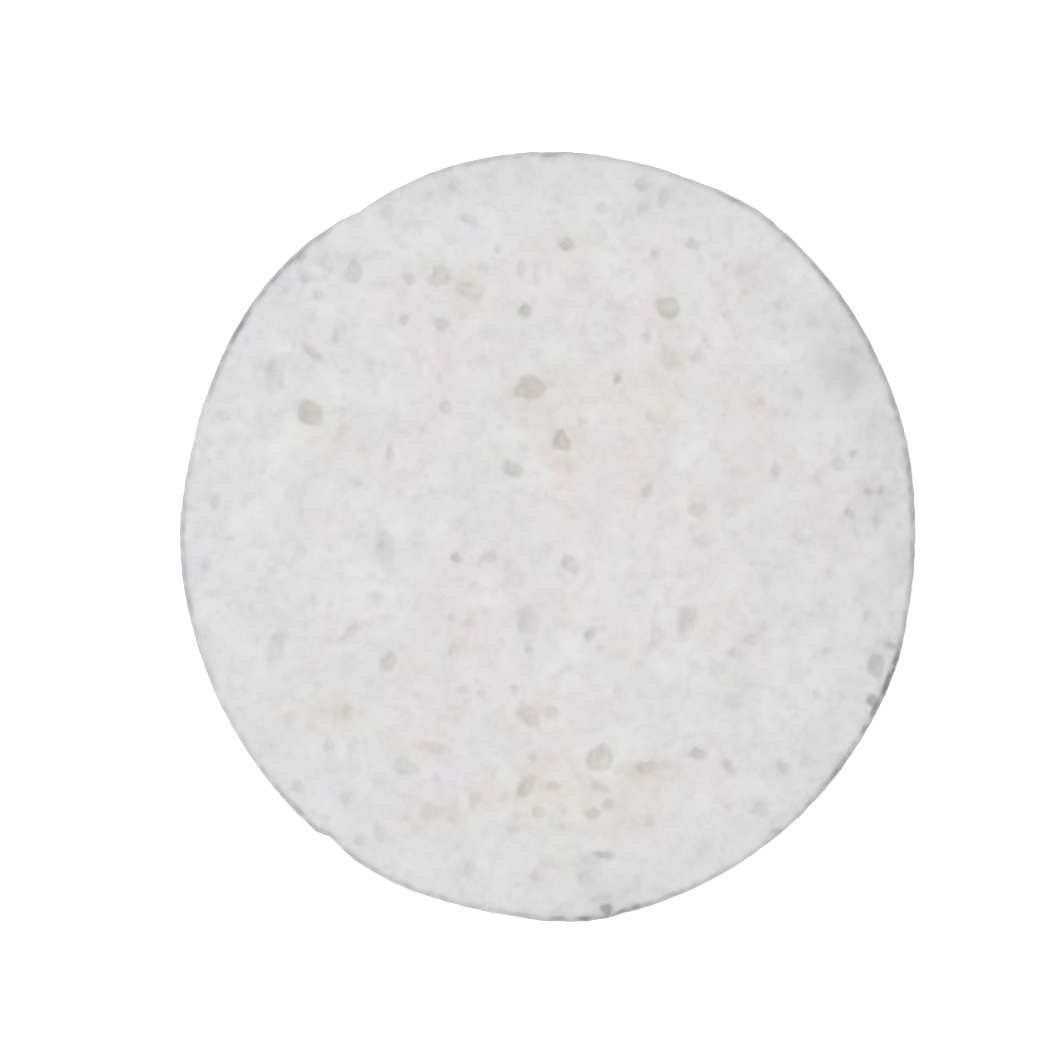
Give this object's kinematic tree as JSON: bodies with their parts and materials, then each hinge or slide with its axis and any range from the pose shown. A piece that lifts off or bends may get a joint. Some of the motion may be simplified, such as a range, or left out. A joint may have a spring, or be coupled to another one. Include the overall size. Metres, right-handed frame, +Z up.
{
  "type": "cellulose makeup sponge",
  "caption": "Round, slightly oval disc of dry pressed cellulose sponge with open shallow pores, for cleaning the face; it lies flat on its underside.",
  "frame": {"origin": "middle of the disc's underside, at the centre of its bounding box", "axes": "+Z up through the pressed thickness, +Y along the longer way of the disc, which is up in the picture, and +X to the picture's right"},
  "size_m": [0.0744, 0.0778, 0.003],
  "materials": {
    "cellulose": "dry, matt, faintly mottled white cellulose with cream and olive grey in the pores"
  },
  "bodies": {
    "root": {"sponge": "cellulose"}
  },
  "joints": []
}
